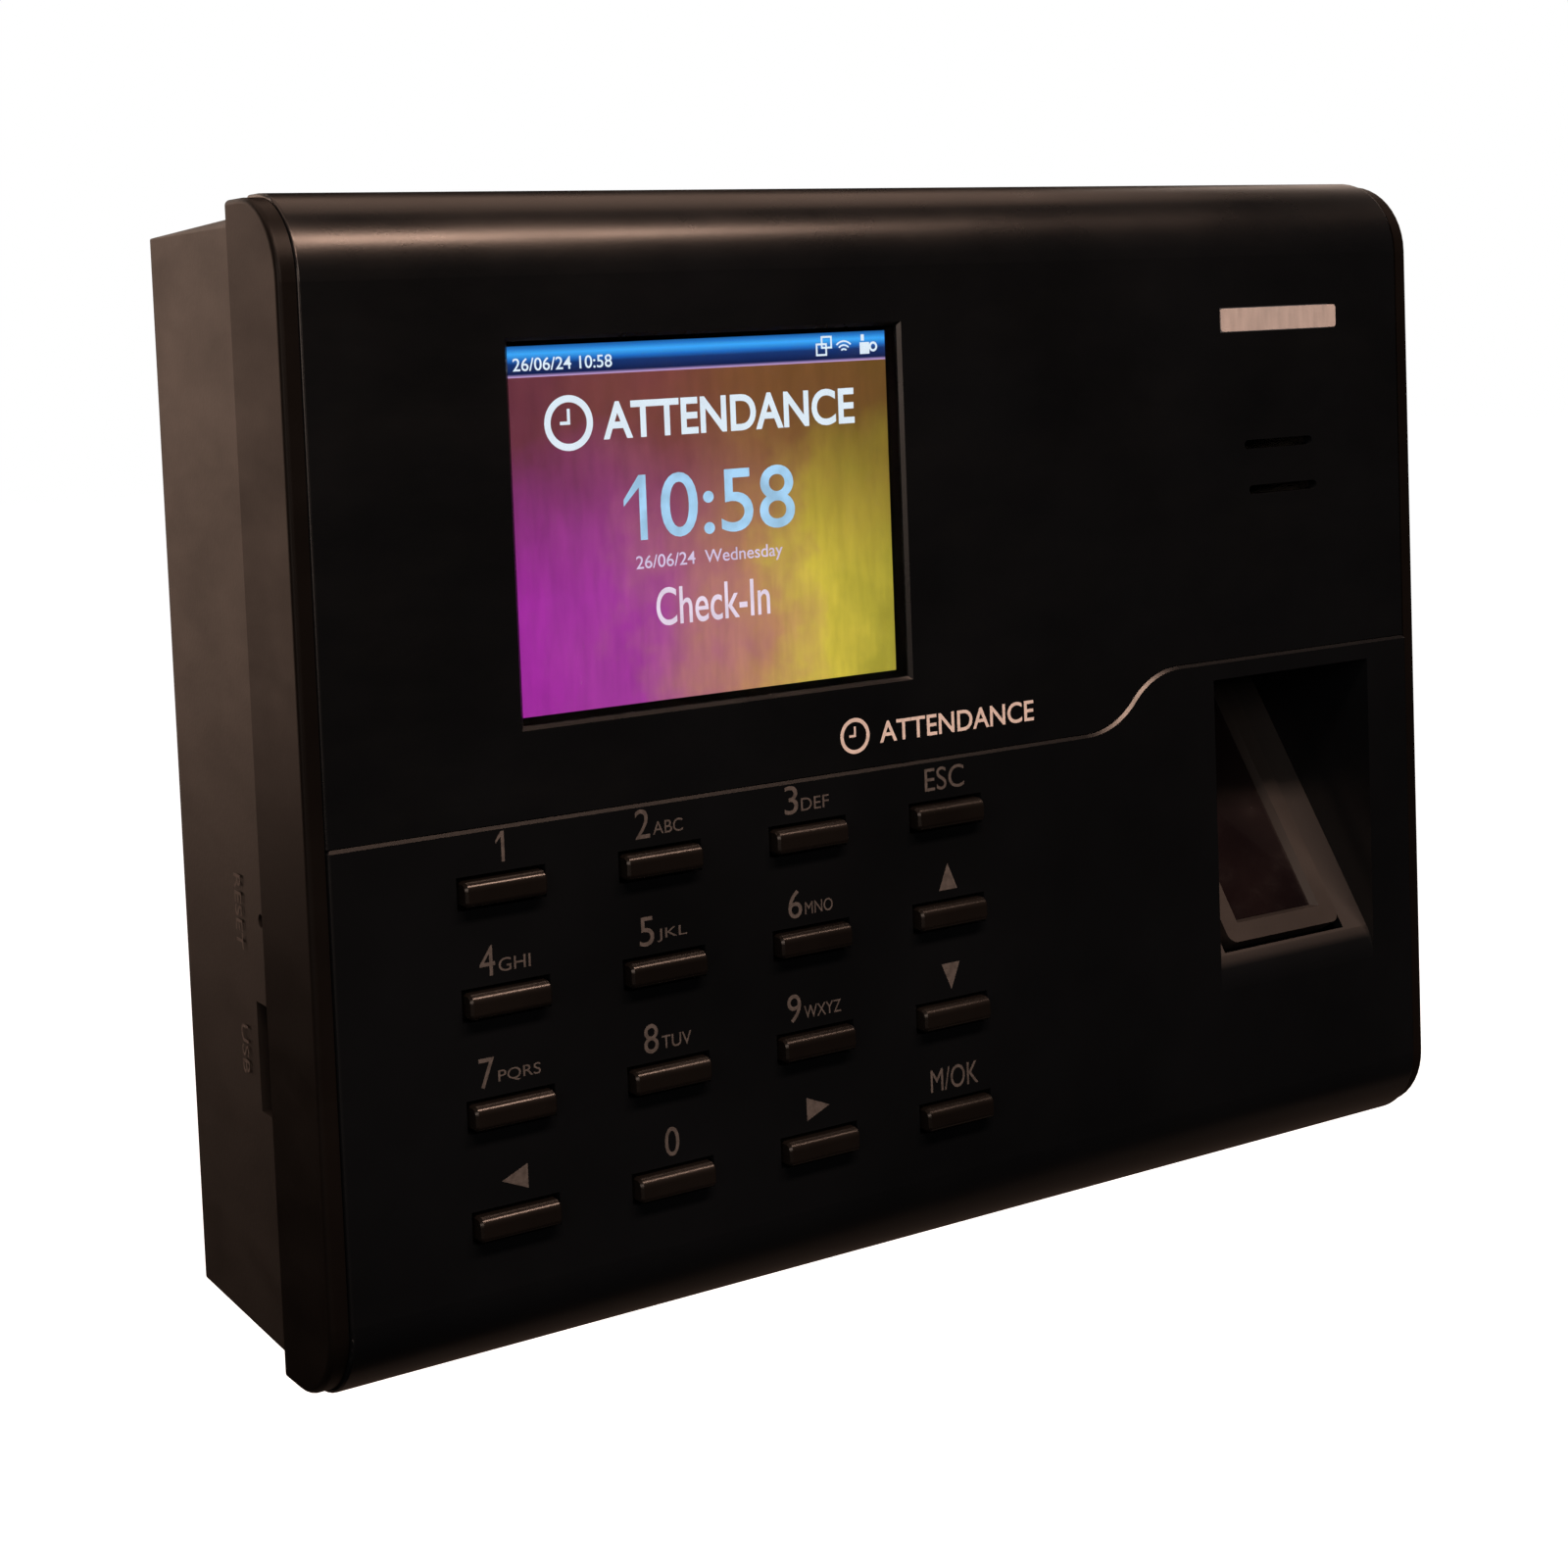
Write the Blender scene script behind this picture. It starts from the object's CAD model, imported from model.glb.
"""Looks of a wall-hung fingerprint time clock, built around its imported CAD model. Lengths are in metres."""
import math

import bmesh
import bpy
from mathutils import Matrix, Vector


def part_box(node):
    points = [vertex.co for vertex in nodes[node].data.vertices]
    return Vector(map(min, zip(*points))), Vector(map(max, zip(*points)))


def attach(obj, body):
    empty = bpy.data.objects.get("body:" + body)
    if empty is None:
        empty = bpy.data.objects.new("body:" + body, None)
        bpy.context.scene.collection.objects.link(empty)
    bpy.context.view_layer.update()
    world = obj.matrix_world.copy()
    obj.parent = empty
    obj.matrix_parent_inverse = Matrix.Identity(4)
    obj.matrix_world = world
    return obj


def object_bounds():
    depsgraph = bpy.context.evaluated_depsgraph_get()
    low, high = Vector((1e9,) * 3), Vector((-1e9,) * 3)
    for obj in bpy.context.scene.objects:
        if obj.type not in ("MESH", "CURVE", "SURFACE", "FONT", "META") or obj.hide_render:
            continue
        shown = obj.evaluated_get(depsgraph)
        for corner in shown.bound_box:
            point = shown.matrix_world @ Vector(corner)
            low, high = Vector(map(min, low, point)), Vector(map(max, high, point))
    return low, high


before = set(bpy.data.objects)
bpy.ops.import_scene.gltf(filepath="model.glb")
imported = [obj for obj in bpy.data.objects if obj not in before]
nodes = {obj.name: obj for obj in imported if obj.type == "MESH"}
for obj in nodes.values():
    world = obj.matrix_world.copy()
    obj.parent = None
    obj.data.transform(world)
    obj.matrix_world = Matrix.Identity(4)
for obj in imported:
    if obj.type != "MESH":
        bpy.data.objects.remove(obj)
cad_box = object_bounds()
MM = 0.001
scene = bpy.context.scene

# ---------------------------------------------------------------- camera
camera_target = Vector((-0.0161, 0.0, 0.0291))
camera_azimuth = math.radians(-31.03)
camera_elevation = math.radians(3.756)
camera_roll = math.radians(-2.39)
camera_distance = 0.357
camera_lens = 58.19
camera_shift = (0.0879, -0.1828)

back_way = Vector((
    math.sin(camera_azimuth) * math.cos(camera_elevation),
    -math.cos(camera_azimuth) * math.cos(camera_elevation),
    math.sin(camera_elevation),
))
camera_data = bpy.data.cameras.new("camera")
camera_data.lens = camera_lens
camera_data.sensor_width = 36.0
camera_data.shift_x, camera_data.shift_y = camera_shift
camera_data.clip_start = 0.01
camera = bpy.data.objects.new("camera", camera_data)
scene.collection.objects.link(camera)
camera.rotation_mode = "QUATERNION"
camera.location = camera_target + back_way * camera_distance
level = (-back_way).to_track_quat("-Z", "Y")
camera.rotation_quaternion = level @ Matrix.Rotation(camera_roll, 3, "Z").to_quaternion()
scene.camera = camera


# ---------------------------------------------------------------- node helpers
def new_material(name):
    """An empty Principled material: its node tree, its shader node and itself."""
    material = bpy.data.materials.new(name)
    material.use_nodes = True
    tree = material.node_tree
    shader = tree.nodes["Principled BSDF"]
    return tree, shader, material


def object_coordinates(tree, stretch=(1, 1, 1)):
    """Object-space coordinates, stretched along each axis."""
    place = tree.nodes.new("ShaderNodeTexCoord")
    mapping = tree.nodes.new("ShaderNodeMapping")
    mapping.inputs["Scale"].default_value = stretch
    tree.links.new(place.outputs["Object"], mapping.inputs["Vector"])
    return mapping.outputs["Vector"]


def noise(tree, vector, scale, detail=3.0, roughness=0.5):
    """A noise texture's value."""
    texture = tree.nodes.new("ShaderNodeTexNoise")
    texture.inputs["Scale"].default_value = scale
    texture.inputs["Detail"].default_value = detail
    texture.inputs["Roughness"].default_value = roughness
    tree.links.new(vector, texture.inputs["Vector"])
    return texture.outputs["Fac"]


def spread(tree, value, low, high, to_low, to_high):
    """A value mapped from one range to another, and held inside it."""
    node = tree.nodes.new("ShaderNodeMapRange")
    node.inputs["From Min"].default_value = low
    node.inputs["From Max"].default_value = high
    node.inputs["To Min"].default_value = to_low
    node.inputs["To Max"].default_value = to_high
    tree.links.new(value, node.inputs["Value"])
    return node.outputs["Result"]


def ramp(tree, value, stops):
    """A colour ramp: stops are (position, (r, g, b))."""
    node = tree.nodes.new("ShaderNodeValToRGB")
    band = node.color_ramp
    while len(band.elements) < len(stops):
        band.elements.new(1.0)
    for element, (position, colour) in zip(band.elements, stops):
        element.position = position
        element.color = (*colour, 1.0)
    tree.links.new(value, node.inputs["Fac"])
    return node.outputs["Color"]


def bump(tree, shader, height, strength, distance):
    """Relief from a height value, on top of any relief the shader has already."""
    node = tree.nodes.new("ShaderNodeBump")
    node.inputs["Strength"].default_value = strength
    node.inputs["Distance"].default_value = distance
    tree.links.new(height, node.inputs["Height"])
    if shader.inputs["Normal"].is_linked:
        tree.links.new(shader.inputs["Normal"].links[0].from_socket, node.inputs["Normal"])
    tree.links.new(node.outputs["Normal"], shader.inputs["Normal"])


# ---------------------------------------------------------------- materials
def mould_cloud(tree, where):
    """The soft blotches of moulded plastic."""
    return noise(tree, where, 38.0, 4.0, 0.55)


def plastic(name, dark, light, gloss, grain, relief=0.25, scuffs=0.0, shine=0.5):
    """Moulded plastic: cloudy colour from dark to light, roughness inside gloss, and a fine cast grain."""
    tree, shader, material = new_material(name)
    shader.inputs["Specular IOR Level"].default_value = shine
    where = object_coordinates(tree)
    cloud = mould_cloud(tree, where)
    tree.links.new(ramp(tree, cloud, ((0.3, dark), (0.7, light))), shader.inputs["Base Color"])
    smear = noise(tree, object_coordinates(tree, (1.0, 1.0, 2.2)), 55.0, 5.0, 0.6)
    tree.links.new(spread(tree, smear, 0.3, 0.72, gloss[0], gloss[1]), shader.inputs["Roughness"])
    bump(tree, shader, noise(tree, where, grain, 2.0), relief, 0.00003)
    if scuffs:
        hair = noise(tree, object_coordinates(tree, (9.0, 60.0, 2.0)), 45.0, 6.0, 0.7)
        bump(tree, shader, spread(tree, hair, 0.62, 0.7, 0.0, 1.0), scuffs, 0.00001)
    return material


fascia_dark, fascia_light = (0.0028, 0.0038, 0.0050), (0.0046, 0.0060, 0.0078)
ledge_dark, ledge_light = (0.020, 0.020, 0.021), (0.028, 0.027, 0.028)
ledge_rise = (0.34, 0.53)           # how far a face must point upwards to start and to finish turning matte
pocket_side_margin = 4.0 * MM
pocket_top_margin = 3.0 * MM
finish_edge = 0.1 * MM


def pocket_plastic(name):
    """The fascia's plastic, paler and matte where the finger pocket's ledge and lip face upwards."""
    tree, shader, material = new_material(name)
    where = object_coordinates(tree)
    split = tree.nodes.new("ShaderNodeSeparateXYZ")
    tree.links.new(where, split.inputs["Vector"])
    facing = tree.nodes.new("ShaderNodeSeparateXYZ")
    tree.links.new(tree.nodes.new("ShaderNodeNewGeometry").outputs["Normal"], facing.inputs["Vector"])
    pocket_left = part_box("sensor_bezel")[0][0] - pocket_side_margin
    pocket_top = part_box("sensor_bezel")[1][2] + pocket_top_margin
    upward = spread(tree, facing.outputs["Z"], ledge_rise[0], ledge_rise[1], 0.0, 1.0)
    inside = spread(tree, split.outputs["X"], pocket_left, pocket_left + finish_edge, 0.0, 1.0)
    below = spread(tree, split.outputs["Z"], pocket_top, pocket_top + finish_edge, 1.0, 0.0)
    matte = upward
    for limit in (inside, below):
        both = tree.nodes.new("ShaderNodeMath")
        both.operation = "MULTIPLY"
        tree.links.new(matte, both.inputs[0])
        tree.links.new(limit, both.inputs[1])
        matte = both.outputs["Value"]
    cloud = mould_cloud(tree, where)
    dark = ramp(tree, cloud, ((0.3, fascia_dark), (0.7, fascia_light)))
    pale = ramp(tree, cloud, ((0.3, ledge_dark), (0.7, ledge_light)))
    blend = tree.nodes.new("ShaderNodeMix")
    blend.data_type = "RGBA"
    tree.links.new(matte, blend.inputs["Factor"])
    tree.links.new(dark, blend.inputs["A"])
    tree.links.new(pale, blend.inputs["B"])
    tree.links.new(blend.outputs["Result"], shader.inputs["Base Color"])
    tree.links.new(spread(tree, matte, 0.0, 1.0, 0.29, 0.5), shader.inputs["Roughness"])
    bump(tree, shader, noise(tree, where, 2600.0, 2.0), 0.18, 0.00003)
    return material


def metal(name, colour, gloss, stretch, grain=900.0):
    """Plated or rolled metal with fine lines along one way and cloudy dulling."""
    tree, shader, material = new_material(name)
    shader.inputs["Metallic"].default_value = 1.0
    dull = noise(tree, object_coordinates(tree), 120.0, 4.0)
    shade = tuple(0.78 * c for c in colour)
    tree.links.new(ramp(tree, dull, ((0.3, shade), (0.7, colour))), shader.inputs["Base Color"])
    lines = noise(tree, object_coordinates(tree, stretch), grain, 2.0)
    tree.links.new(spread(tree, lines, 0.3, 0.7, gloss[0], gloss[1]), shader.inputs["Roughness"])
    bump(tree, shader, lines, 0.2, 0.00002)
    return material


def print_ink(name, colour, patchy):
    """Screen-printed ink: almost even, thinner in places."""
    tree, shader, material = new_material(name)
    thin = tuple(c * (1 - patchy) for c in colour)
    cover = noise(tree, object_coordinates(tree), 1400.0, 3.0)
    tree.links.new(ramp(tree, cover, ((0.35, thin), (0.6, colour))), shader.inputs["Base Color"])
    tree.links.new(spread(tree, cover, 0.3, 0.7, 0.5, 0.65), shader.inputs["Roughness"])
    return material


def glowing(name, colour, strength, patchy=0.15):
    """A lit part of the display picture, with the panel's faint unevenness."""
    tree, shader, material = new_material(name)
    shader.inputs["Base Color"].default_value = (0.02, 0.02, 0.02, 1)
    dim = tuple(c * (1 - patchy) for c in colour)
    cloud = noise(tree, object_coordinates(tree), 330.0, 2.0)
    tree.links.new(ramp(tree, cloud, ((0.35, dim), (0.6, colour))), shader.inputs["Emission Color"])
    shader.inputs["Emission Strength"].default_value = strength
    shader.inputs["Roughness"].default_value = 0.4
    return material


def clear_glass(name):
    """The polished display window, with a trace of smears."""
    tree, shader, material = new_material(name)
    shader.inputs["Base Color"].default_value = (1.0, 1.0, 1.0, 1)
    shader.inputs["Transmission Weight"].default_value = 1.0
    shader.inputs["IOR"].default_value = 1.45
    smear = noise(tree, object_coordinates(tree, (1.0, 1.0, 3.0)), 60.0, 4.0)
    tree.links.new(spread(tree, smear, 0.45, 0.8, 0.0, 0.06), shader.inputs["Roughness"])
    return material


def platen_glass(name):
    """The sensor's dark prism glass: near black inside, polished, with faint finger smears."""
    tree, shader, material = new_material(name)
    where = object_coordinates(tree)
    depth = noise(tree, where, 60.0, 2.0)
    tree.links.new(ramp(tree, depth, ((0.3, (0.004, 0.003, 0.004)), (0.7, (0.009, 0.006, 0.007)))),
                   shader.inputs["Base Color"])
    smear = noise(tree, object_coordinates(tree, (1.0, 2.0, 1.0)), 140.0, 5.0, 0.65)
    tree.links.new(spread(tree, smear, 0.4, 0.75, 0.12, 0.3), shader.inputs["Roughness"])
    shader.inputs["Coat Weight"].default_value = 0.5
    shader.inputs["Coat Roughness"].default_value = 0.05
    return material


def milky(name):
    """The status light's milky bar, glowing a little more towards its middle."""
    tree, shader, material = new_material(name)
    low, high = (Vector(corner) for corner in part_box("status_light_bar"))
    middle, half = (low + high) / 2, (high - low) / 2
    split = tree.nodes.new("ShaderNodeSeparateXYZ")
    tree.links.new(object_coordinates(tree), split.inputs["Vector"])
    away = tree.nodes.new("ShaderNodeMath")
    away.operation = "SUBTRACT"
    away.inputs[1].default_value = middle.x
    tree.links.new(split.outputs["X"], away.inputs[0])
    distance = tree.nodes.new("ShaderNodeMath")
    distance.operation = "ABSOLUTE"
    tree.links.new(away.outputs["Value"], distance.inputs[0])
    glow = spread(tree, distance.outputs["Value"], 0.0, half.x, 0.0, 1.0)
    tree.links.new(ramp(tree, glow, ((0.0, (0.60, 0.50, 0.47)), (1.0, (0.46, 0.38, 0.36)))),
                   shader.inputs["Emission Color"])
    shader.inputs["Emission Strength"].default_value = 0.12
    haze = noise(tree, object_coordinates(tree, (1.0, 1.0, 0.2)), 900.0, 2.0)
    tree.links.new(ramp(tree, haze, ((0.3, (0.40, 0.37, 0.36)), (0.7, (0.52, 0.48, 0.47)))),
                   shader.inputs["Base Color"])
    shader.inputs["Roughness"].default_value = 0.35
    shader.inputs["Subsurface Weight"].default_value = 0.3
    shader.inputs["Subsurface Radius"].default_value = (0.001, 0.001, 0.001)
    return material


def board_green(name):
    """Solder mask over copper tracks, on a fine grid."""
    tree, shader, material = new_material(name)
    tracks = tree.nodes.new("ShaderNodeTexBrick")
    tracks.inputs["Scale"].default_value = 160.0
    tracks.inputs["Mortar Size"].default_value = 0.012
    tracks.inputs["Color1"].default_value = (0.012, 0.075, 0.03, 1)
    tracks.inputs["Color2"].default_value = (0.016, 0.09, 0.036, 1)
    tracks.inputs["Mortar"].default_value = (0.03, 0.16, 0.06, 1)
    turned = tree.nodes.new("ShaderNodeMapping")
    turned.inputs["Rotation"].default_value = (math.pi / 2, 0, 0)
    tree.links.new(object_coordinates(tree), turned.inputs["Vector"])
    tree.links.new(turned.outputs["Vector"], tracks.inputs["Vector"])
    tree.links.new(tracks.outputs["Color"], shader.inputs["Base Color"])
    shader.inputs["Roughness"].default_value = 0.35
    bump(tree, shader, tracks.outputs["Fac"], 0.3, 0.00003)
    return material


def screen_picture(name, low, high):
    """The lit picture: magenta at the lower left, brown above and yellow at the lower right."""
    tree, shader, material = new_material(name)
    where = object_coordinates(tree)
    split = tree.nodes.new("ShaderNodeSeparateXYZ")
    tree.links.new(where, split.inputs["Vector"])
    across = spread(tree, split.outputs["X"], low[0], high[0], 0.0, 1.0)
    up = spread(tree, split.outputs["Z"], low[1], high[1], 0.0, 1.0)
    drift = noise(tree, where, 95.0, 4.0, 0.6)
    shift = spread(tree, drift, 0.25, 0.75, -0.11, 0.11)

    def add(a, b):
        node = tree.nodes.new("ShaderNodeMath")
        node.operation = "ADD"
        tree.links.new(a, node.inputs[0])
        tree.links.new(b, node.inputs[1])
        return node.outputs["Value"]

    def mix(a, b, blend="MIX"):
        node = tree.nodes.new("ShaderNodeMix")
        node.data_type = "RGBA"
        node.blend_type = blend
        node.inputs["Factor"].default_value = 1.0
        tree.links.new(a, node.inputs["A"])
        tree.links.new(b, node.inputs["B"])
        return node

    side = add(across, shift)
    lower = ramp(tree, side, (
        (0.00, (0.40, 0.028, 0.38)), (0.25, (0.40, 0.045, 0.36)), (0.45, (0.46, 0.15, 0.22)),
        (0.62, (0.55, 0.27, 0.13)), (0.80, (0.70, 0.56, 0.065)), (1.00, (0.42, 0.36, 0.04)),
    ))
    upper = ramp(tree, side, (
        (0.00, (0.15, 0.034, 0.055)), (0.35, (0.21, 0.060, 0.050)), (0.65, (0.21, 0.085, 0.030)),
        (1.00, (0.16, 0.078, 0.018)),
    ))
    height = add(up, spread(tree, drift, 0.25, 0.75, 0.08, -0.08))
    rise = ramp(tree, height, ((0.30, (0, 0, 0)), (0.78, (1, 1, 1))))
    backdrop = mix(lower, upper)
    tree.links.new(rise, backdrop.inputs["Factor"])
    streaks = noise(tree, object_coordinates(tree, (3.0, 1.0, 0.6)), 190.0, 3.0, 0.6)
    lit = ramp(tree, streaks, ((0.35, (0.82, 0.82, 0.82)), (0.7, (1.0, 1.0, 1.0))))
    picture = mix(backdrop.outputs["Result"], lit, "MULTIPLY")
    tree.links.new(picture.outputs["Result"], shader.inputs["Emission Color"])
    shader.inputs["Base Color"].default_value = (0.01, 0.01, 0.012, 1)
    shader.inputs["Emission Strength"].default_value = 1.0
    shader.inputs["Roughness"].default_value = 0.3
    return material


def bar_picture(name, low_z, high_z):
    """The blue bar: bright above, navy below."""
    tree, shader, material = new_material(name)
    split = tree.nodes.new("ShaderNodeSeparateXYZ")
    tree.links.new(object_coordinates(tree), split.inputs["Vector"])
    up = spread(tree, split.outputs["Z"], low_z, high_z, 0.0, 1.0)
    tree.links.new(ramp(tree, up, (
        (0.00, (0.62, 0.40, 0.75)), (0.06, (0.22, 0.16, 0.35)), (0.11, (0.004, 0.012, 0.07)),
        (0.42, (0.006, 0.035, 0.17)), (0.55, (0.012, 0.15, 0.56)), (0.75, (0.05, 0.42, 1.0)),
        (0.90, (0.02, 0.20, 0.62)), (1.00, (0.01, 0.10, 0.34)),
    )), shader.inputs["Emission Color"])
    shader.inputs["Base Color"].default_value = (0.01, 0.01, 0.012, 1)
    shader.inputs["Emission Strength"].default_value = 1.0
    shader.inputs["Roughness"].default_value = 0.3
    return material


black_fascia = plastic("fascia_plastic", fascia_dark, fascia_light, (0.25, 0.33), 2600.0, 0.18)
pocket_fascia = pocket_plastic("pocket_plastic")
black_cover = plastic("cover_plastic", (0.004, 0.0035, 0.0033), (0.007, 0.006, 0.0056),
                      (0.34, 0.46), 2300.0, 0.25, shine=0.13)
black_shell = plastic("shell_plastic", (0.011, 0.0095, 0.0085), (0.016, 0.0135, 0.012),
                      (0.42, 0.54), 1700.0, 0.5, 0.3)
key_plastic = plastic("key_plastic", (0.005, 0.0045, 0.0043), (0.009, 0.008, 0.0075),
                      (0.22, 0.32), 3000.0, 0.12)
bezel_plastic = plastic("bezel_plastic", (0.022, 0.021, 0.021), (0.033, 0.031, 0.031),
                        (0.34, 0.46), 2600.0, 0.25)
board_plastic = plastic("black_component", (0.012, 0.012, 0.013), (0.02, 0.02, 0.021),
                        (0.35, 0.5), 2200.0, 0.3)
panel_black = plastic("lcd_border", (0.003, 0.003, 0.003), (0.005, 0.005, 0.005), (0.15, 0.22), 900.0, 0.05)
pale_plastic = plastic("pale_component", (0.5, 0.48, 0.42), (0.6, 0.57, 0.5), (0.4, 0.5), 2200.0, 0.2)
silicone = plastic("silicone", (0.10, 0.10, 0.10), (0.14, 0.14, 0.14), (0.5, 0.65), 1500.0, 0.3)
amber_film = plastic("amber_film", (0.38, 0.16, 0.03), (0.48, 0.21, 0.04), (0.25, 0.4), 900.0, 0.1)
red_wire = plastic("wire_insulation", (0.25, 0.012, 0.01), (0.33, 0.02, 0.015), (0.35, 0.5), 900.0, 0.1)
paper_cone = plastic("paper_cone", (0.015, 0.014, 0.013), (0.03, 0.028, 0.026), (0.7, 0.85), 3500.0, 0.8)
resin = plastic("clear_resin", (0.62, 0.58, 0.42), (0.72, 0.68, 0.5), (0.2, 0.3), 900.0, 0.1)
zinc = metal("zinc_plate", (0.50, 0.50, 0.48), (0.28, 0.48), (1.0, 1.0, 6.0), 260.0)
steel = metal("rolled_steel", (0.56, 0.55, 0.53), (0.22, 0.38), (1.0, 1.0, 8.0), 500.0)
gold = metal("gold_flash", (0.83, 0.60, 0.22), (0.15, 0.3), (1.0, 1.0, 4.0), 700.0)
window_glass = clear_glass("window_glass")
prism_glass = platen_glass("prism_glass")
milky_bar = milky("milky_bar")
solder_mask = board_green("solder_mask")
legend_ink = print_ink("legend_ink", (0.105, 0.10, 0.10), 0.3)
word_ink = print_ink("word_ink", (0.86, 0.80, 0.79), 0.12)
side_ink = print_ink("side_ink", (0.10, 0.085, 0.078), 0.3)

key_nodes = [name for name in nodes if name.startswith("key_")]
finishes = (
    (black_fascia, ("upper_fascia",)),
    (pocket_fascia, ("lower_fascia",)),
    (black_cover, ("front_cover",)),
    (black_shell, ("rear_shell",)),
    (key_plastic, key_nodes),
    (bezel_plastic, ("sensor_bezel",)),
    (panel_black, ("lcd_panel",)),
    (board_plastic, ("sensor_body", "board_chips", "capacitors", "ribbon_sockets", "cell_holder",
                     "reset_switch", "usb_tongue", "network_jack", "power_jack")),
    (pale_plastic, ("lead_plugs", "reset_plunger")),
    (silicone, ("keypad_mat",)),
    (amber_film, ("lcd_ribbon", "keypad_ribbon", "sensor_ribbon")),
    (red_wire, ("speaker_leads", "light_leads")),
    (paper_cone, ("speaker_cone",)),
    (resin, ("status_leds",)),
    (zinc, ("wall_bracket", "locking_screw", "case_screws", "board_screws", "keypad_screws")),
    (steel, ("lcd_frame", "speaker_basket", "usb_socket", "coin_cell")),
    (gold, ("network_contacts", "power_pin")),
    (window_glass, ("display_window",)),
    (prism_glass, ("sensor_glass",)),
    (milky_bar, ("status_light_bar",)),
    (solder_mask, ("main_board", "keypad_board", "light_board", "sensor_board")),
)
for material, names in finishes:
    for name in names:
        nodes[name].data.materials.clear()
        nodes[name].data.materials.append(material)

# ---------------------------------------------------------------- places read from the frame
front_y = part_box("lower_fascia")[0][1]
side_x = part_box("rear_shell")[0][0]
lcd_face_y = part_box("lcd_panel")[0][1]
window_low, window_high = (Vector(corner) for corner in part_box("display_window"))
ink_lift = 0.02 * MM


# ---------------------------------------------------------------- flat shapes: words, arrows and icons
class Sheet:
    """Flat shapes collected into one thin mesh. right and up are the directions as a reader sees them."""

    def __init__(self, origin, right, up):
        self.mesh = bmesh.new()
        self.origin = Vector(origin)
        self.right = Vector(right)
        self.up = Vector(up)

    def at(self, across, climb):
        return self.origin + self.right * across + self.up * climb

    def polygon(self, corners):
        self.mesh.faces.new([self.mesh.verts.new(self.at(a, c)) for a, c in corners])

    def box(self, low, high):
        self.polygon(((low[0], low[1]), (high[0], low[1]), (high[0], high[1]), (low[0], high[1])))

    def outline(self, low, high, line):
        """A hollow rectangle."""
        self.box(low, (high[0], low[1] + line))
        self.box((low[0], high[1] - line), high)
        self.box((low[0], low[1] + line), (low[0] + line, high[1] - line))
        self.box((high[0] - line, low[1] + line), (high[0], high[1] - line))

    def arc(self, middle, radius, line, start, end, steps=12):
        """A curved stroke, with angles in degrees counted anticlockwise from the right."""
        turn = [math.radians(start + (end - start) * i / steps) for i in range(steps + 1)]
        for a, b in zip(turn, turn[1:]):
            inner, outer = radius - line / 2, radius + line / 2
            self.polygon([(middle[0] + r * math.cos(t), middle[1] + r * math.sin(t))
                          for r, t in ((inner, a), (outer, a), (outer, b), (inner, b))])

    def one(self, low, high, line):
        """The digit 1 with its flag, filling the box from low to high."""
        flag = (high[0] - low[0]) * 0.9
        self.box((high[0] - line, low[1]), high)
        self.polygon(((low[0], high[1] - flag), (low[0], high[1] - flag - line * 0.8),
                      (high[0] - line, high[1] - line * 1.5), (high[0] - line, high[1])))

    def clock_dial(self, middle, radius, line, steps, hand_half, minute_hand, hour_hand):
        """A ring with a minute hand that points up and an hour hand that points left."""
        x, z = middle
        self.arc(middle, radius, line, 0, 360, steps)
        self.box((x - hand_half, z - hand_half), (x + hand_half, z + minute_hand))
        self.box((x - hour_hand, z - hand_half), (x - hand_half, z + hand_half))

    def words(self, text, low, high, weight=0.0):
        """Words that fill the box from low to high."""
        curve = bpy.data.curves.new("words", "FONT")
        curve.body = text
        curve.offset = weight
        curve.resolution_u = 6
        holder = bpy.data.objects.new("words", curve)
        flat = bpy.data.meshes.new_from_object(holder)
        points = [vertex.co for vertex in flat.vertices]
        left, foot = min(p.x for p in points), min(p.y for p in points)
        wide, tall = max(p.x for p in points) - left, max(p.y for p in points) - foot
        stretch_x, stretch_z = (high[0] - low[0]) / wide, (high[1] - low[1]) / tall
        corners = []
        for p in points:
            place = self.at(low[0] + (p.x - left) * stretch_x, low[1] + (p.y - foot) * stretch_z)
            corners.append(self.mesh.verts.new(place))
        for face in flat.polygons:
            self.mesh.faces.new([corners[i] for i in face.vertices])
        bpy.data.objects.remove(holder)
        bpy.data.curves.remove(curve)
        bpy.data.meshes.remove(flat)

    def finish(self, name, material, slot, thickness=0.01 * MM):
        """Thickens the shapes towards the reader and makes them a piece of the housing."""
        out = self.right.cross(self.up)
        for face in self.mesh.faces:
            face.normal_update()
            if face.normal.dot(out) < 0:
                face.normal_flip()
        grown = bmesh.ops.extrude_face_region(self.mesh, geom=self.mesh.faces[:], use_keep_orig=True)
        lifted = [item for item in grown["geom"] if isinstance(item, bmesh.types.BMVert)]
        bmesh.ops.translate(self.mesh, verts=lifted, vec=out * thickness)
        bmesh.ops.recalc_face_normals(self.mesh, faces=self.mesh.faces[:])
        data = bpy.data.meshes.new(name)
        self.mesh.to_mesh(data)
        self.mesh.free()
        data.materials.append(material)
        piece = bpy.data.objects.new(name, data)
        scene.collection.objects.link(piece)
        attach(piece, "housing")


# ---------------------------------------------------------------- the picture on the display
glass_gap_y = (window_high.y + lcd_face_y) / 2
sheet_thickness = 0.004 * MM
picture_low = (window_low.x + 0.25 * MM, window_low.z + 0.85 * MM)
picture_high = (window_high.x - 1.25 * MM, window_high.z - 0.55 * MM)
bar_foot = picture_high[1] - 3.7 * MM


def screen_sheet(layer):
    """A sheet in the narrow gap between the window and the panel. Higher layers lie nearer to the reader."""
    return Sheet((0, glass_gap_y + (0.005 - 0.012 * layer) * MM, 0), (1, 0, 0), (0, 0, 1))


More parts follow.
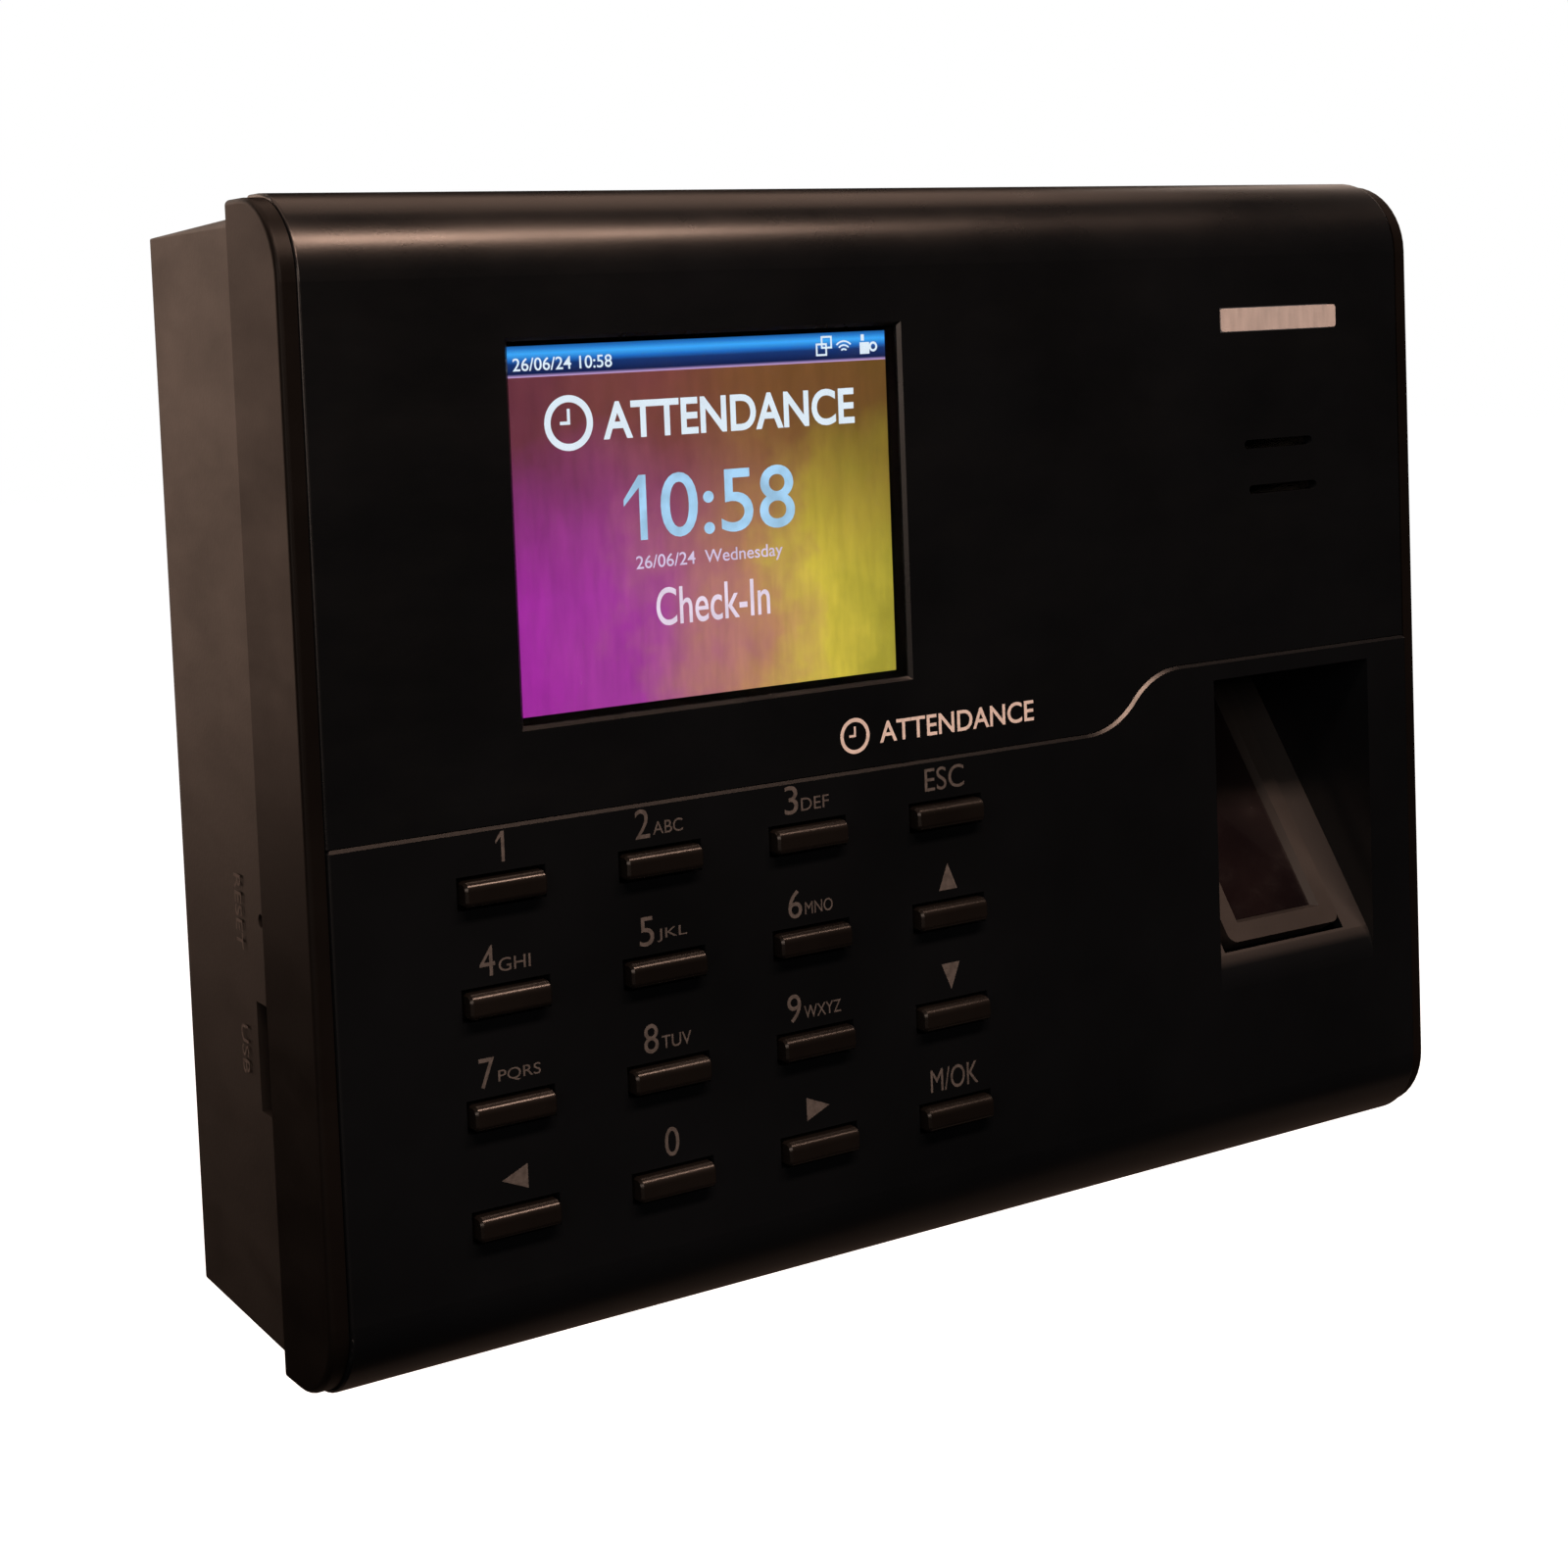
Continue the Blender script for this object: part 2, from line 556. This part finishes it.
picture = screen_sheet(0)
picture.box(picture_low, (picture_high[0], bar_foot))
picture_light = screen_picture("picture_light", picture_low, picture_high)
picture.finish("screen_picture", picture_light, "lcd", sheet_thickness)
bar = screen_sheet(0)
bar.box((picture_low[0], bar_foot), picture_high)
bar.finish("screen_bar", bar_picture("bar_light", bar_foot, picture_high[1]), "lcd", sheet_thickness)

white_light = glowing("white_light", (0.78, 0.90, 1.0), 1.0, 0.06)
time_light = glowing("time_light", (0.42, 0.72, 1.0), 1.0, 0.25)
soft_light = glowing("soft_light", (0.72, 0.62, 0.86), 1.0, 0.15)
warm_light = glowing("warm_light", (0.86, 0.74, 0.90), 1.0, 0.12)


def from_left(mm):
    return window_low.x + mm * MM


def from_foot(mm):
    return window_low.z + mm * MM


def on_screen(left, foot, right, top):
    """Two corners, given in millimetres from the window's lower left corner."""
    return (from_left(left), from_foot(foot)), (from_left(right), from_foot(top))


headline = screen_sheet(1)
screen_dial = (from_left(8.3), from_foot(35.3))
headline.clock_dial(screen_dial, 2.9 * MM, 0.85 * MM, 40, 0.2 * MM, 1.7 * MM, 1.2 * MM)
headline.words("ATTENDANCE", *on_screen(13.0, 33.0, 50.0, 37.6), 0.022)
headline.finish("screen_headline", white_light, "lcd")

time_sheet = screen_sheet(1)
time_sheet.one(*on_screen(15.4, 20.6, 18.6, 28.5), 1.0 * MM)
time_sheet.words("0:58", *on_screen(20.6, 20.6, 40.3, 28.5), 0.006)
time_sheet.finish("screen_time", time_light, "lcd")

date_sheet = screen_sheet(1)
date_sheet.words("26/06/24  Wednesday", *on_screen(16.8, 16.6, 38.2, 18.7), 0.004)
date_sheet.finish("screen_date", soft_light, "lcd")

status_sheet = screen_sheet(1)
status_sheet.words("Check-In", *on_screen(19.4, 9.9, 36.0, 14.6), 0.006)
status_sheet.finish("screen_status", warm_light, "lcd")

bar_sheet = screen_sheet(1)
bar_words_foot, bar_words_top = bar_foot + 0.75 * MM, bar_foot + 2.3 * MM
bar_sheet.words("26/06/24 10:58", (from_left(1.1), bar_words_foot), (from_left(14.6), bar_words_top), 0.008)
icon_foot = bar_foot + 0.8 * MM
icon_line = 0.25 * MM
copies_x, waves_x, plug_x = (from_left(mm) for mm in (44.4, 48.7, 51.2))
bar_sheet.outline((copies_x, icon_foot), (copies_x + 1.7 * MM, icon_foot + 1.6 * MM), icon_line)
bar_sheet.outline((copies_x + 0.8 * MM, icon_foot + 0.9 * MM),
                  (copies_x + 2.5 * MM, icon_foot + 2.5 * MM), icon_line)
for radius in (0.55, 1.05, 1.55):
    bar_sheet.arc((waves_x, icon_foot + 0.2 * MM), radius * MM, 0.22 * MM, 45, 135)
bar_sheet.box((plug_x, icon_foot), (plug_x + 1.5 * MM, icon_foot + 1.5 * MM))
bar_sheet.box((plug_x + 0.2 * MM, icon_foot + 1.7 * MM), (plug_x + 0.7 * MM, icon_foot + 2.5 * MM))
bar_sheet.arc((plug_x + 2.1 * MM, icon_foot + 0.9 * MM), 0.5 * MM, 0.3 * MM, 0, 360, 16)
bar_sheet.finish("screen_bar_text", white_light, "lcd")

# ---------------------------------------------------------------- print on the front
legends = {
    "key_1": ("1", ""), "key_2": ("2", "ABC"), "key_3": ("3", "DEF"),
    "key_4": ("4", "GHI"), "key_5": ("5", "JKL"), "key_6": ("6", "MNO"),
    "key_7": ("7", "PQRS"), "key_8": ("8", "TUV"), "key_9": ("9", "WXYZ"), "key_0": ("0", ""),
}
digit_foot = 3.1 * MM
digit_height = 3.6 * MM
digit_width = {"1": 1.15 * MM}
one_line = 0.42 * MM
usual_digit_width = 2.05 * MM
small_height = 1.6 * MM
small_width = 1.42 * MM
small_gap = 0.45 * MM
small_lift = 0.25 * MM
word_foot, word_top = 3.2 * MM, 6.2 * MM
arrow_half = 1.75 * MM
arrow_lift = 4.9 * MM
arrow_spread = 0.85
upper_step = 0.4 * MM               # the upper fascia's face lies this far behind the lower one's


def key_middle(name):
    low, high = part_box(name)
    return (low[0] + high[0]) / 2, (low[2] + high[2]) / 2


front_print = Sheet((0, front_y + ink_lift / 2, 0), (1, 0, 0), (0, 0, 1))
for name, (digit, letters) in legends.items():
    x, z = key_middle(name)
    wide = digit_width.get(digit, usual_digit_width)
    span = wide + (small_gap + len(letters) * small_width if letters else 0.0)
    left = x - span / 2
    foot = z + digit_foot
    if digit == "1":
        front_print.one((left, foot), (left + wide, foot + digit_height), one_line)
    else:
        front_print.words(digit, (left, foot), (left + wide, foot + digit_height))
    if letters:
        front_print.words(letters, (left + wide + small_gap, foot + small_lift),
                          (left + span, foot + small_lift + small_height))
for name, word, half in (("key_esc", "ESC", 3.2), ("key_ok", "M/OK", 3.9)):
    x, z = key_middle(name)
    front_print.words(word, (x - half * MM, z + word_foot), (x + half * MM, z + word_top))
for name, way in (("key_up", (0, 1)), ("key_down", (0, -1)), ("key_left", (-1, 0)), ("key_right", (1, 0))):
    x, z = key_middle(name)
    z += arrow_lift
    across = Vector((way[1], way[0])) * arrow_half * arrow_spread
    tip = Vector(way) * arrow_half
    front_print.polygon([(x + p.x, z + p.y) for p in (tip, -tip + across, -tip - across)])
front_print.finish("key_legends", legend_ink, "fascia", ink_lift)

seam_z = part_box("upper_fascia")[0][2]
word_print = Sheet((0, front_y + upper_step + ink_lift / 2, 0), (1, 0, 0), (0, 0, 1))
front_dial = (-13.1 * MM, seam_z + 4.3 * MM)
word_print.clock_dial(front_dial, 2.05 * MM, 0.5 * MM, 32, 0.15 * MM, 1.2 * MM, 0.9 * MM)
word_print.words("ATTENDANCE", (-9.2 * MM, seam_z + 2.9 * MM), (16.2 * MM, seam_z + 5.7 * MM), 0.012)
word_print.finish("front_word", word_ink, "fascia", ink_lift)

# ---------------------------------------------------------------- print by the reset hole and memory slot
reset_low, reset_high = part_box("reset_plunger")
reset_z = (reset_low[2] + reset_high[2]) / 2
usb_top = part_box("usb_socket")[1][2]
side_foot, side_top = 20.2 * MM, 22.2 * MM
side_print = Sheet((side_x + ink_lift / 2, 0, 0), (0, 0, -1), (0, -1, 0))
side_print.words("RESET", (-reset_z - 4.5 * MM, side_foot), (-reset_z + 4.5 * MM, side_top))
side_print.words("USB", (-usb_top + 3.5 * MM, side_foot), (-usb_top + 9.5 * MM, side_top))
side_print.finish("side_print", side_ink, "shell", ink_lift)


# ---------------------------------------------------------------- stage and light
def stage_material(name, colour, own_light):
    tree, shader, material = new_material(name)
    shader.inputs["Base Color"].default_value = (*colour, 1)
    shader.inputs["Roughness"].default_value = 0.8
    shader.inputs["Emission Color"].default_value = (*colour, 1)
    shader.inputs["Emission Strength"].default_value = own_light
    return material


floor_drop = 0.25
floor_half = 6.0
floor_z = cad_box[0][2] - floor_drop
floor_mesh = bpy.data.meshes.new("floor")
floor_corners = [(x * floor_half, y * floor_half, floor_z) for x, y in ((-1, -1), (1, -1), (1, 1), (-1, 1))]
floor_mesh.from_pydata(floor_corners, [], [(0, 1, 2, 3)])
floor_mesh.materials.append(stage_material("floor_paint", (0.86, 0.86, 0.86), 1.2))
floor = bpy.data.objects.new("floor", floor_mesh)
scene.collection.objects.link(floor)
floor.visible_glossy = False
floor.visible_diffuse = False
floor.visible_transmission = False

world = bpy.data.worlds.new("studio")
scene.world = world
world.use_nodes = True
world.node_tree.nodes["Background"].inputs["Color"].default_value = (1.0, 1.0, 1.0, 1)
world.cycles_visibility.diffuse = False
world.cycles_visibility.glossy = False
world.cycles_visibility.transmission = False

warm = (1.0, 0.65, 0.49)
neutral = (1.0, 0.77, 0.64)


def panel(name, place, aim, size, radiance, colour):
    """A soft rectangular light. Its power follows from its area and radiance."""
    light = bpy.data.lights.new(name, "AREA")
    light.shape = "RECTANGLE"
    light.size, light.size_y = size
    light.energy = radiance * math.pi * size[0] * size[1]
    light.color = colour
    holder = bpy.data.objects.new(name, light)
    holder.location = place
    holder.rotation_mode = "QUATERNION"
    holder.rotation_quaternion = (Vector(aim) - Vector(place)).to_track_quat("-Z", "Y")
    holder.visible_camera = False
    scene.collection.objects.link(holder)


panel("ceiling_back", (0.10, 0.45, 0.95), (0.10, 0.25, 0.0), (1.7, 0.7), 0.85, warm)
panel("ceiling_front", (-0.44, -0.1, 0.95), (-0.2, 0.0, 0.0), (1.7, 0.4), 0.7, warm)
panel("strip", (0.03, -0.50, 0.72), (0.01, 0.0, 0.06), (0.88, 0.11), 29.0, warm)
panel("left_back", (-0.42, 0.42, 0.09), (-0.09, -0.02, -0.03), (0.5, 0.38), 1.4, warm)
panel("left_front", (-0.95, -0.60, 0.22), (0.0, -0.04, 0.0), (0.5, 0.5), 2.6, neutral)
panel("front", (-0.38, -1.20, 0.42), (0.05, -0.04, 0.0), (0.4, 0.4), 5.0, neutral)
panel("right_back", (1.1, 0.45, 0.35), (0.0, 0.0, 0.0), (0.7, 0.7), 1.2, neutral)
panel("back", (-0.2, 1.3, 0.5), (0.0, 0.0, 0.0), (0.9, 0.6), 1.2, neutral)
panel("below", (0.15, 0.08, -0.30), (0.1, 0.0, 0.0), (0.7, 0.35), 0.08, warm)

scene.view_settings.view_transform = "Standard"
